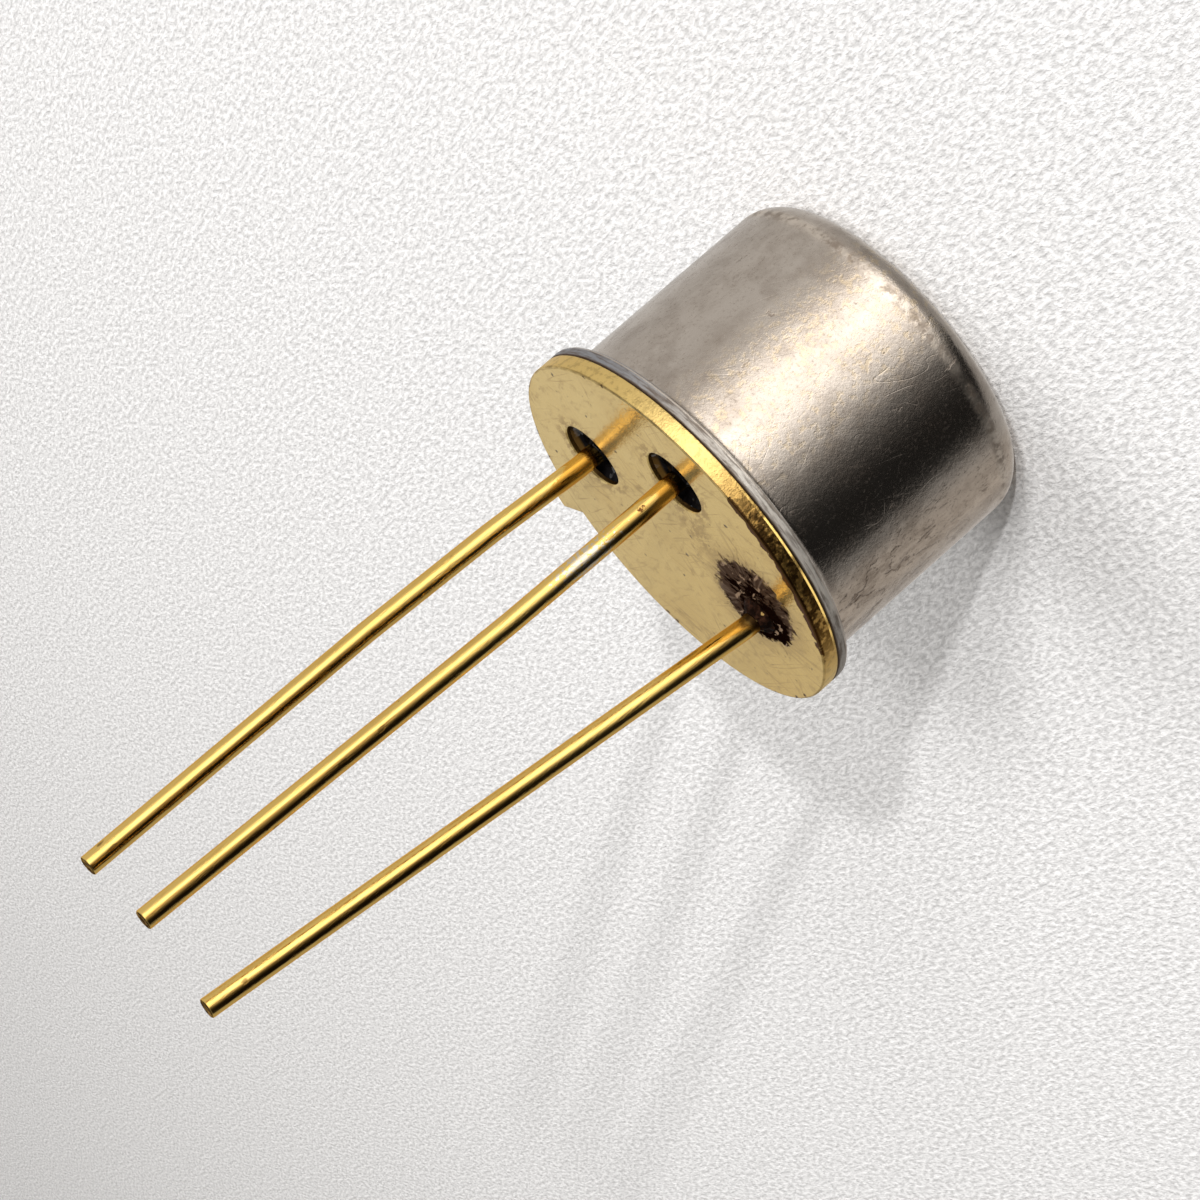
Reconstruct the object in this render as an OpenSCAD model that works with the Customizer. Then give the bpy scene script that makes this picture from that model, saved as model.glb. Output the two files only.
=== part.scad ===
// Small-signal npn transistor in a three-lead metal can, TO-39 outline.
// It stands on the can's flat top with its leads up: z = 0 is the top of the can, and the
// origin is on the can's axis. Seen from the leads, emitter, base and collector follow
// one another clockwise, a quarter turn apart, and the index tab is beside the emitter.

/* [Can] */
// Outer diameter of the can's wall
can_d = 8.2; // [7.6:0.05:12]
// Height from the top of the can to the header's face
body_h = 6.5; // [4.5:0.05:12]
// Thickness of the can's wall and top
can_wall = 0.25; // [0.15:0.01:0.4]
// Outer radius between the can's wall and its top
can_corner_r = 0.78; // [0.45:0.01:1.2]
// How far the flanges of the can and the header stand out from the can's wall
flange_w = 0.43; // [0.3:0.01:0.9]
// Thickness of the can's flange
can_flange_t = 0.3; // [0.2:0.01:0.5]
// Outer radius between the can's flange and its wall
can_fillet_r = 0.22; // [0.1:0.01:0.28]

/* [Header] */
// Thickness of the header's flange
header_flange_t = 0.42; // [0.25:0.01:0.8]
// Bevel round the edge of the header's flange
header_edge = 0.04; // [0.01:0.01:0.1]
// Thickness of the raised platform inside the can
platform_t = 1.1; // [0.6:0.05:1.6]
// Gap between the platform and the can's wall
platform_gap = 0.1; // [0.05:0.01:0.3]
// Width of the index tab
tab_w = 0.8; // [0.6:0.01:1]
// How far the index tab stands out from the header's flange
tab_l = 0.85; // [0.5:0.01:1.2]

/* [Glass seals] */
// Diameter of the holes that hold the glass beads
seal_d = 1.6; // [1.2:0.05:1.9]
// How far the edge of the glass lies below the metal
seal_recess = 0.12; // [0.05:0.01:0.25]
// Radius of the hollow that the glass draws into its surface
meniscus_r = 0.4; // [0.35:0.01:1]

/* [Leads] */
// Diameter of the circle that the leads stand on
pin_circle_d = 5.08; // [4:0.01:5.6]
// Diameter of a lead
lead_d = 0.475; // [0.4:0.005:0.57]
// Length of the emitter lead beyond the header's face
emitter_len = 14; // [8:0.05:40]
// Length of the base lead beyond the header's face
base_len = 14.45; // [8:0.05:40]
// Length of the collector lead beyond the header's face
collector_len = 14.45; // [8:0.05:40]
// Straight length of the emitter and collector leads before their first bend
straight_len = 0.3; // [0.15:0.05:2]
// Radius of the bends near the header, at the middle of the wire
sharp_bend_r = 1.5; // [0.8:0.1:3]
// Radius of the bends further up, at the middle of the wire
gentle_bend_r = 6; // [3:0.5:8]
// Direction in which the leads lean, as an angle from the emitter lead
lean_direction = -18; // [-180:1:180]
// Lean of the emitter lead after its first bend
emitter_lean = 4; // [0.5:0.1:8]
// Length of the emitter lead between its first and second bends
emitter_run_1 = 2.3; // [0.5:0.1:4]
// How far the second bend brings the emitter lead upright again
emitter_return_1 = 1.8; // [0.2:0.1:4]
// Length of the emitter lead between its second and third bends
emitter_run_2 = 3.3; // [0.5:0.1:3.6]
// How far the third bend brings the emitter lead upright again
emitter_return_2 = 1.4; // [0.2:0.1:4]
// Straight length of the base lead before its first bend
base_run_1 = 1; // [0.3:0.1:3]
// Lean of the base lead after its first bend
base_lean_1 = 0.8; // [0.2:0.1:4]
// Length of the base lead between its two bends
base_run_2 = 3.5; // [0.5:0.1:5]
// How much further the base lead leans after its second bend
base_lean_2 = 1.2; // [0.2:0.1:4]
// Lean of the collector lead
collector_lean = 6; // [0.5:0.1:8]
// How far outside the lead circle the collector lead is welded
collector_offset = 0.06; // [0:0.01:0.3]
// Bevel at the cut ends of the leads
lead_end_bevel = 0.04; // [0.01:0.01:0.1]
// How far the weld metal spreads round the collector lead
weld_w = 0.2; // [0.1:0.01:0.4]

/* [Inside the can] */
// Length of the emitter and base posts beyond the platform
post_len = 0.6; // [0.3:0.05:1.2]
// Width of the chip
die_w = 0.8; // [0.4:0.05:2]
// Thickness of the chip
die_t = 0.2; // [0.1:0.01:0.4]
// Thickness of the solder under the chip
die_attach_t = 0.05; // [0.03:0.01:0.1]
// How far the solder spreads beyond the chip
die_attach_w = 0.1; // [0.05:0.01:0.3]
// Distance of the bond pads from the centre of the chip
pad_offset = 0.2; // [0.1:0.01:0.3]
// Diameter of the bond wires
wire_d = 0.1; // [0.08:0.01:0.2]
// Radius of the bends in the bond wires, at the middle of the wire
wire_bend_r = 0.3; // [0.2:0.05:0.6]
// Straight length of each bond wire where it stands on its post
wire_foot = 0.15; // [0.05:0.01:0.4]

/* [Hidden] */
$fn = 96;
slack = 1; // how far a cutter runs past what it cuts

// directions about the axis, counted from the emitter lead
emitter_angle = 0;
base_angle = -90;
collector_angle = 180;
tab_angle = 45;

can_r = can_d / 2;
bore_r = can_r - can_wall;
flange_r = can_r + flange_w;
platform_r = bore_r - platform_gap;
seal_r = seal_d / 2;
lead_r = lead_d / 2;
pin_r = pin_circle_d / 2;
tab_end = flange_r + tab_l;

// heights
face_z = body_h;
mouth_z = face_z - header_flange_t;
platform_z = mouth_z - platform_t;
post_z = platform_z - post_len;
die_attach_z = platform_z - die_attach_t;
die_z = die_attach_z - die_t;
wire_z = post_z - wire_foot;

gold = [0.83, 0.66, 0.33];
nickel = [0.66, 0.64, 0.6];
glass = [0.09, 0.08, 0.08];
weld = [0.36, 0.27, 0.16];
silicon = [0.3, 0.31, 0.36];
solder = [0.72, 0.7, 0.64];
aluminium = [0.85, 0.86, 0.87];

// what a round corner of radius r cuts from a square one at the origin, towards +x and +y
module corner_cut(r) {
    difference() {
        square(r);
        translate([r, r]) circle(r);
    }
}

// outline of the can's cup, solid, from its top at y = 0 to height h
module cup_outline(radius, h, corner) {
    difference() {
        square([radius, h]);
        translate([radius, 0]) mirror([1, 0]) corner_cut(corner);
    }
}

module can_section() {
    difference() {
        union() {
            cup_outline(can_r, mouth_z, can_corner_r);
            translate([0, mouth_z - can_flange_t]) square([flange_r, can_flange_t]);
            translate([can_r, mouth_z - can_flange_t]) mirror([0, 1]) corner_cut(can_fillet_r);
        }
        translate([0, can_wall]) cup_outline(bore_r, body_h, can_corner_r - can_wall);
    }
}

module can() {
    color(nickel) rotate_extrude() can_section();
}

// half the section of the header's disc, from the platform up to the bevelled edge of its face
module disc_section() {
    polygon([[0, platform_z], [platform_r, platform_z], [platform_r, mouth_z], [flange_r, mouth_z],
             [flange_r, face_z - header_edge], [flange_r - header_edge, face_z], [0, face_z]]);
}

module tab() {
    rotate([0, 0, tab_angle]) translate([platform_r, -tab_w / 2, mouth_z])
        cube([tab_end - platform_r, tab_w, header_flange_t]);
}

module seal_hole(angle) {
    rotate([0, 0, angle]) translate([pin_r, 0, platform_z - slack])
        cylinder(r = seal_r, h = face_z - platform_z + 2 * slack);
}

module header() {
    color(gold) difference() {
        union() {
            rotate_extrude() disc_section();
            tab();
        }
        seal_hole(emitter_angle);
        seal_hole(base_angle);
    }
}

// half the section of a bead, hollow at both ends where the glass climbs the wire and the metal
module seal_section() {
    width = seal_r - lead_r;
    height = face_z - platform_z - 2 * seal_recess;
    centre = sqrt(meniscus_r * meniscus_r - width * width / 4);
    difference() {
        translate([lead_r, 0]) square([width, height]);
        translate([lead_r + width / 2, -centre]) circle(meniscus_r);
        translate([lead_r + width / 2, height + centre]) circle(meniscus_r);
    }
}

module seal(angle) {
    color(glass) rotate([0, 0, angle]) translate([pin_r, 0, platform_z + seal_recess])
        rotate_extrude() seal_section();
}

// round wire of diameter d from the origin, along +z; each bend is [straight length before it,
// angle towards +x, or towards -x if negative, radius], and last is the length after them all
module bent_wire(d, bends, last, bevel = 0, i = 0) {
    if (i == len(bends)) {
        cylinder(d = d, h = last - bevel);
        if (bevel > 0) translate([0, 0, last - bevel]) cylinder(d1 = d, d2 = d - 2 * bevel, h = bevel);
    } else {
        run = bends[i][0];
        turn = bends[i][1];
        r = bends[i][2];
        cylinder(d = d, h = run);
        translate([0, 0, run]) mirror([turn < 0 ? 1 : 0, 0, 0]) bend(d, r, abs(turn));
        translate([sign(turn) * r * (1 - cos(turn)), 0, run + r * sin(abs(turn))])
            rotate([0, turn, 0]) bent_wire(d, bends, last, bevel, i + 1);
    }
}

module bend(d, r, turn) {
    translate([r, 0, 0]) rotate([90, 0, 180])
        rotate_extrude(angle = turn) translate([r, 0]) circle(d = d);
}

// length of wire that bend i of a list and those after it take
function bent_len(bends, i = 0) =
    i == len(bends) ? 0 : bends[i][0] + bends[i][2] * abs(bends[i][1]) * PI / 180 + bent_len(bends, i + 1);

// a lead of length len beyond the header's face that starts at height z
module lead(angle, radius, z, bends, len) {
    first = [[bends[0][0] + face_z - z, bends[0][1], bends[0][2]]];
    rest = [for (i = [1 : 1 : len(bends) - 1]) bends[i]];
    color(gold) rotate([0, 0, angle]) translate([radius, 0, z])
        rotate([0, 0, lean_direction - angle])
            bent_wire(lead_d, concat(first, rest), len - bent_len(bends), lead_end_bevel);
}

module emitter_lead() {
    bends = [[straight_len, emitter_lean, sharp_bend_r],
             [emitter_run_1, -emitter_return_1, gentle_bend_r],
             [emitter_run_2, -emitter_return_2, gentle_bend_r]];
    lead(emitter_angle, pin_r, post_z, bends, emitter_len);
}

module base_lead() {
    bends = [[base_run_1, base_lean_1, gentle_bend_r], [base_run_2, base_lean_2, gentle_bend_r]];
    lead(base_angle, pin_r, post_z, bends, base_len);
}

module collector_lead() {
    bends = [[straight_len, collector_lean, sharp_bend_r]];
    lead(collector_angle, pin_r + collector_offset, face_z, bends, collector_len);
}

module collector_weld() {
    color(weld) rotate([0, 0, collector_angle]) translate([pin_r + collector_offset, 0, face_z])
        rotate_extrude() translate([lead_r, 0]) corner_cut(weld_w);
}

module die_attach() {
    w = die_w + 2 * die_attach_w;
    color(solder) translate([-w / 2, -w / 2, die_attach_z]) cube([w, w, die_attach_t]);
}

module die() {
    color(silicon) translate([-die_w / 2, -die_w / 2, die_z]) cube([die_w, die_w, die_t]);
}

// bond wire from a pad on the chip, past the end of the post, and back up onto the post
module bond_wire(angle) {
    drop = die_z - wire_z;
    span = pin_r - pad_offset - 2 * wire_bend_r;
    bends = [[drop, 90, wire_bend_r], [span, 90, wire_bend_r]];
    color(aluminium) rotate([0, 0, angle]) translate([pad_offset, 0, die_z]) mirror([0, 0, 1])
        bent_wire(wire_d, bends, wire_foot);
}

can();
header();
seal(emitter_angle);  // emitter_seal
seal(base_angle);  // base_seal
emitter_lead();
base_lead();
collector_lead();
collector_weld();
die_attach();
die();
bond_wire(emitter_angle);  // emitter_wire
bond_wire(base_angle);  // base_wire
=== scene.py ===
import math

import bmesh
import bpy
from mathutils import Matrix, Vector, noise


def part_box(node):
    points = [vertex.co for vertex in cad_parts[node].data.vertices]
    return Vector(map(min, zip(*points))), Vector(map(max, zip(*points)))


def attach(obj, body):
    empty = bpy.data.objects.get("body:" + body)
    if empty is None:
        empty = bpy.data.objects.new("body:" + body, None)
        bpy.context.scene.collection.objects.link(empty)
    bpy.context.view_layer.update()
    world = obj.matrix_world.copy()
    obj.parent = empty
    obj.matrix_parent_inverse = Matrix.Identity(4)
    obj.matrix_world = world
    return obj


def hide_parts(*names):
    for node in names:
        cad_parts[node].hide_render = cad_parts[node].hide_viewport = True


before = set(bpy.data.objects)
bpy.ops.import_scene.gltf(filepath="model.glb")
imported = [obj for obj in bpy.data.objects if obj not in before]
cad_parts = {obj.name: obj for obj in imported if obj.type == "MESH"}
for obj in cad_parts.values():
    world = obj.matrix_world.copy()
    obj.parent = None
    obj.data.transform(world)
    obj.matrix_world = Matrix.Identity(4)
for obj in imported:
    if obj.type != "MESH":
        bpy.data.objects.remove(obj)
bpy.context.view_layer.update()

mm = 0.001  # sizes are in millimetres, the scene in metres
micron = 0.000001

canLow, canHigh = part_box("can")
headerLow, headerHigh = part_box("header")
canTopZ = canLow.z / mm
mouthZ = canHigh.z / mm  # where the can's flange meets the header's
faceZ = headerHigh.z / mm  # the gold face that the leads come out of
platformZ = headerLow.z / mm
flangeR = -canLow.y / mm
holeR = 0.8
leadR = 0.2375
emitterAt = Vector((2.54, 0, faceZ))
baseAt = Vector((0, -2.54, faceZ))
collectorAt = Vector((-2.6, 0, faceZ))
streakSide = 71.6  # the azimuth that fine streaks run along

print("frame loaded: face at %.2f mm, flange radius %.3f mm" % (faceZ, flangeR))


# camera

cameraValues = {
    "place": (-37.868, -113.684, 42.156),
    "right": (-0.688773, 0.015952, -0.724801),
    "up": (0.658016, -0.405897, -0.634241),
    "lens": 177.25,
    "sensor": 36,
    "near": 0.005,
    "far": 20,
}


def makeCamera(values):
    data = bpy.data.cameras.new("camera")
    data.lens = values["lens"]
    data.sensor_width = values["sensor"]
    data.clip_start = values["near"]
    data.clip_end = values["far"]
    camera = bpy.data.objects.new("camera", data)
    bpy.context.scene.collection.objects.link(camera)
    right = Vector(values["right"]).normalized()
    up = Vector(values["up"])
    up = (up - right * up.dot(right)).normalized()
    turn = Matrix((right, up, right.cross(up))).transposed().to_4x4()
    camera.matrix_world = Matrix.Translation(Vector(values["place"]) * mm) @ turn
    bpy.context.scene.camera = camera


makeCamera(cameraValues)
print("camera set")


# helpers for node trees

def connect(tree, node, inputs):
    # a socket is linked, and anything else is the input's own value
    for name, value in inputs.items():
        if isinstance(value, bpy.types.NodeSocket):
            tree.links.new(value, node.inputs[name])
        else:
            node.inputs[name].default_value = value


def addNode(tree, kind, inputs=None, **settings):
    made = tree.nodes.new("ShaderNode" + kind)
    for name, value in settings.items():
        setattr(made, name, value)
    connect(tree, made, inputs or {})
    return made


def calc(tree, operation, a, b=0.0, clamp=False):
    made = addNode(tree, "Math", {0: a, 1: b}, operation=operation, use_clamp=clamp)
    return made.outputs[0]


def times(tree, product, *factors, clamp=False):
    for factor in factors:
        product = calc(tree, "MULTIPLY", product, factor, clamp)
    return product


def highest(tree, found, *others):
    for other in others:
        found = calc(tree, "MAXIMUM", found, other)
    return found


def addUp(tree, *parts, base=None):
    # each part is (mask, how much of it)
    total = base
    for mask, size in parts:
        part = times(tree, mask, size)
        total = part if total is None else calc(tree, "ADD", total, part)
    return total


def awayFrom(tree, value, centre):
    return calc(tree, "ABSOLUTE", calc(tree, "SUBTRACT", value, centre))


def vectorCalc(tree, operation, a, b=(0, 0, 0)):
    made = addNode(tree, "VectorMath", {0: a, 1: b}, operation=operation)
    return made.outputs["Value" if operation in ("LENGTH", "DOT_PRODUCT") else "Vector"]


def levelWay(azimuth):
    turn = math.radians(azimuth)
    return math.cos(turn), math.sin(turn), 0


def levelReach(tree, vector):
    # the distance from the z axis
    return vectorCalc(tree, "LENGTH", vectorCalc(tree, "MULTIPLY", vector, (1, 1, 0)))


def heightOf(tree, vector):
    return addNode(tree, "SeparateXYZ", {0: vector}).outputs[2]


def remap(tree, value, low, high, toLow=0.0, toHigh=1.0, kind="SMOOTHSTEP"):
    made = addNode(tree, "MapRange", {0: value, 1: low, 2: high, 3: toLow, 4: toHigh},
                   interpolation_type=kind)
    return made.outputs[0]


def remapMm(tree, value, low, high, toLow=0.0, toHigh=1.0):
    # low and high in millimetres
    return remap(tree, value, low * mm, high * mm, toLow, toHigh)


def between(tree, mask, atZero, atOne):
    return remap(tree, mask, 0.0, 1.0, atZero, atOne)


def blendColour(tree, factor, a, b):
    made = addNode(tree, "Mix", {0: factor, 6: a, 7: b}, data_type="RGBA")
    return made.outputs[2]


def coats(tree, colour, values, *layers):
    # each layer is (name of its colour, mask, share), the lowest first
    for name, mask, share in layers:
        factor = mask if share == 1 else times(tree, mask, share)
        colour = blendColour(tree, factor, colour, values[name])
    return colour


def noiseValue(tree, vector, scale, detail=2.0, roughness=0.5):
    made = addNode(tree, "TexNoise", {"Vector": vector, "Scale": scale, "Detail": detail,
                                      "Roughness": roughness})
    return made.outputs["Fac"]


def placed(tree, vector, at=(0, 0, 0), turn=(0, 0, 0), scale=(1, 1, 1)):
    # the pattern's own frame: at becomes its origin, in millimetres
    made = addNode(tree, "Mapping", {"Vector": vector, "Location": Vector(at) * mm,
                                     "Rotation": [math.radians(t) for t in turn],
                                     "Scale": scale}, vector_type="TEXTURE")
    return made.outputs[0]


def startMaterial(name):
    material = bpy.data.materials.new(name)
    material.use_nodes = True
    tree = material.node_tree
    shader = tree.nodes["Principled BSDF"]
    spot = addNode(tree, "TexCoord").outputs["Object"]
    return material, tree, shader, spot


def endMaterial(tree, shader, depth, inputs):
    # depth is the height of the surface, in microns
    bump = addNode(tree, "Bump", {"Height": depth, "Strength": 1.0, "Distance": micron})
    connect(tree, shader, {**inputs, "Normal": bump.outputs[0]})


def startGroup(name, output, **inputs):
    # an input without a value of its own is a vector
    tree = bpy.data.node_groups.new(name, "ShaderNodeTree")
    for label, value in inputs.items():
        kind = "NodeSocketVector" if value is None else "NodeSocketFloat"
        socket = tree.interface.new_socket(name=label, in_out="INPUT", socket_type=kind)
        if value is not None:
            socket.default_value = value
    tree.interface.new_socket(name=output, in_out="OUTPUT", socket_type="NodeSocketFloat")
    given = tree.nodes.new("NodeGroupInput").outputs
    return tree, given, tree.nodes.new("NodeGroupOutput").inputs[output]


def useGroup(tree, group, **inputs):
    made = tree.nodes.new("ShaderNodeGroup")
    made.node_tree = group
    connect(tree, made, inputs)
    return made.outputs[0]


# effects that several finishes share

def makeGrain():
    # the orange peel of plated metal, as a height from 0 to 1
    tree, given, out = startGroup("platingGrain", "Height", Vector=None, Scale=12000.0)
    coarse = noiseValue(tree, given["Vector"], given["Scale"], 3.0, 0.6)
    fine = noiseValue(tree, given["Vector"], times(tree, given["Scale"], 3.1))
    tree.links.new(addUp(tree, (coarse, 0.65), (fine, 0.35)), out)
    return tree


def makeScratches():
    # hair lines in three directions, broken up by a slow noise
    tree, given, out = startGroup("hairScratches", "Mask", Vector=None, Scale=2500.0, Width=0.02,
                                  Amount=0.5)
    lines = []
    for turn, shift in ((12, 0.0), (58, 3.0), (131, 7.0)):
        stretched = placed(tree, given["Vector"], at=(shift, -shift, 0), turn=(0, 0, turn),
                           scale=(14, 1, 1))
        wave = noiseValue(tree, stretched, given["Scale"], 1.0, 0.4)
        line = remap(tree, awayFrom(tree, wave, 0.5), 0.0, given["Width"], 1.0, 0.0, "LINEAR")
        patchy = noiseValue(tree, placed(tree, given["Vector"], at=(shift, shift, 0)), 900.0, 1.0)
        gate = calc(tree, "SUBTRACT", calc(tree, "ADD", patchy, given["Amount"]), 1.0)
        lines.append(times(tree, line, times(tree, gate, 6.0, clamp=True)))
    tree.links.new(highest(tree, *lines), out)
    return tree


def makePits():
    # scattered specks of several sizes
    tree, given, out = startGroup("scatteredPits", "Mask", Vector=None, Scale=3000.0, Size=0.2,
                                  Share=0.3)
    wobble = noiseValue(tree, given["Vector"], times(tree, given["Scale"], 4.0), 1.0)
    cells = addNode(tree, "TexVoronoi", {"Vector": given["Vector"], "Scale": given["Scale"]})
    shade = addNode(tree, "SeparateColor", {0: cells.outputs["Color"]}).outputs
    radius = times(tree, given["Size"], calc(tree, "ADD", shade[1], 0.25))
    ragged = calc(tree, "SUBTRACT", wobble, 0.5)
    reach = addUp(tree, (ragged, 0.25), base=cells.outputs["Distance"])
    inside = remap(tree, reach, radius, times(tree, radius, 0.6), kind="LINEAR")
    chosen = calc(tree, "LESS_THAN", shade[0], given["Share"])
    tree.links.new(times(tree, inside, chosen), out)
    return tree


def makeBlotches():
    # soft uneven patches, from 0 to 1
    tree, given, out = startGroup("softBlotches", "Mask", Vector=None, Scale=500.0, Low=0.4,
                                  High=0.65)
    uneven = noiseValue(tree, given["Vector"], given["Scale"], 5.0, 0.62)
    tree.links.new(remap(tree, uneven, given["Low"], given["High"]), out)
    return tree


def makeNearRing():
    # 1 on a circle round the z axis, fading to 0 at a distance of Width
    tree, given, out = startGroup("nearRing", "Mask", Vector=None, Radius=0.004, Width=0.0001)
    away = awayFrom(tree, levelReach(tree, given["Vector"]), given["Radius"])
    tree.links.new(remap(tree, away, 0.0, given["Width"], 1.0, 0.0), out)
    return tree


def makeFacing():
    # 1 on the side of the z axis that looks Toward a level direction
    tree, given, out = startGroup("facingSide", "Mask", Vector=None, Toward=None, Low=0.6,
                                  High=0.9)
    flat = vectorCalc(tree, "MULTIPLY", given["Vector"], (1, 1, 0))
    cosine = vectorCalc(tree, "DOT_PRODUCT", vectorCalc(tree, "NORMALIZE", flat),
                        given["Toward"])
    tree.links.new(remap(tree, cosine, given["Low"], given["High"]), out)
    return tree


grain = makeGrain()
scratches = makeScratches()
pits = makePits()
blotches = makeBlotches()
nearRing = makeNearRing()
facing = makeFacing()
print("shared effects made")


def facingMask(tree, spot, azimuth, low, high):
    # low and high are cosines of the angle from the azimuth
    return useGroup(tree, facing, Vector=spot, Toward=levelWay(azimuth), Low=low, High=high)


def ringMask(tree, spot, radius, width):
    # in millimetres
    return useGroup(tree, nearRing, Vector=spot, Radius=radius * mm, Width=width * mm)


def holeMasks(tree, spot, radius, width):
    # each hole's own frame, with a mask near a circle round its centre
    for centre in (emitterAt, baseAt):
        local = placed(tree, spot, at=(centre.x, centre.y, 0))
        yield local, ringMask(tree, local, radius, width)


# can finish

canFinish = {
    "clean": (0.66, 0.59, 0.52, 1),
    "paintedLightWarm": (0.84, 0.7, 0.57, 1),
    "dull": (0.46, 0.39, 0.33, 1),
    "worn": (0.88, 0.78, 0.67, 1),
    "brown": (0.17, 0.11, 0.07, 1),
    "edge": (0.64, 0.6, 0.55, 1),
    "edgeLitPale": (0.92, 0.88, 0.82, 1),
    "slateShade": (0.43, 0.435, 0.46, 1),
    "highlightFleck": (0.76, 0.6, 0.38, 1),
    "rough": 0.14,
    "edgeRough": 0.52,
    "grainScale": 11000.0,
    "grainDepth": 7.0,
    "waveScale": 700.0,
    "waveDepth": 24.0,
    "swellScale": 900.0,
    "swellDepth": 14.0,
    "dentScale": 1300.0,
    "dentDepth": 40.0,
    "speckleScale": 13500.0,
    "patchScale": 900.0,
    "cloudScale": 1400.0,
    "scarScale": 3300.0,
    "lineScale": 1800.0,
    "creaseScale": 3000.0,
    "veinScale": 1500.0,
    "dentedSide": -182,
    "highlightSide": -97,
    "paintedLightSide": -128,
    "slateShadeSide": -24,
    "cornerAt": 0.72,
    "ridgeAt": -0.235,
    "grooveAt": -0.33,
}


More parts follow.
